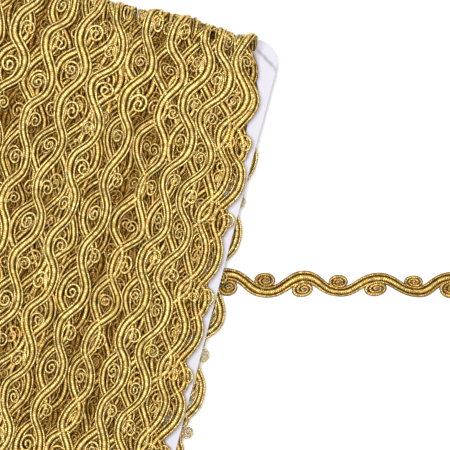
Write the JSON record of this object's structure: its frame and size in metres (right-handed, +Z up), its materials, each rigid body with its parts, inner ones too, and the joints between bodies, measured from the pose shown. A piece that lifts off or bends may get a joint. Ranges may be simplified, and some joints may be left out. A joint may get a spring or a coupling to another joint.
{
  "type": "scroll gimp braid trim wound on a card",
  "caption": "Gold metallic scroll gimp braid wound lengthwise round a thin white notched card, with a loose end of the trim laid out to one side.",
  "frame": {"origin": "on the surface that the part rests on, under the middle of the card and of the winding round it", "axes": "+X across the card towards its long edge with the loose end, +Y along the card to the end with the creased ear, +Z up out of the card's front"},
  "size_m": [0.2222, 0.1962, 0.0114],
  "materials": {
    "card": "smooth white board with a faint lavender cast, satin",
    "gold_braid": "cords wrapped in fine gold metallic thread, glittering"
  },
  "bodies": {
    "root": {"card": "card", "wound_trim": "gold_braid", "loose_end": "gold_braid"}
  },
  "joints": []
}
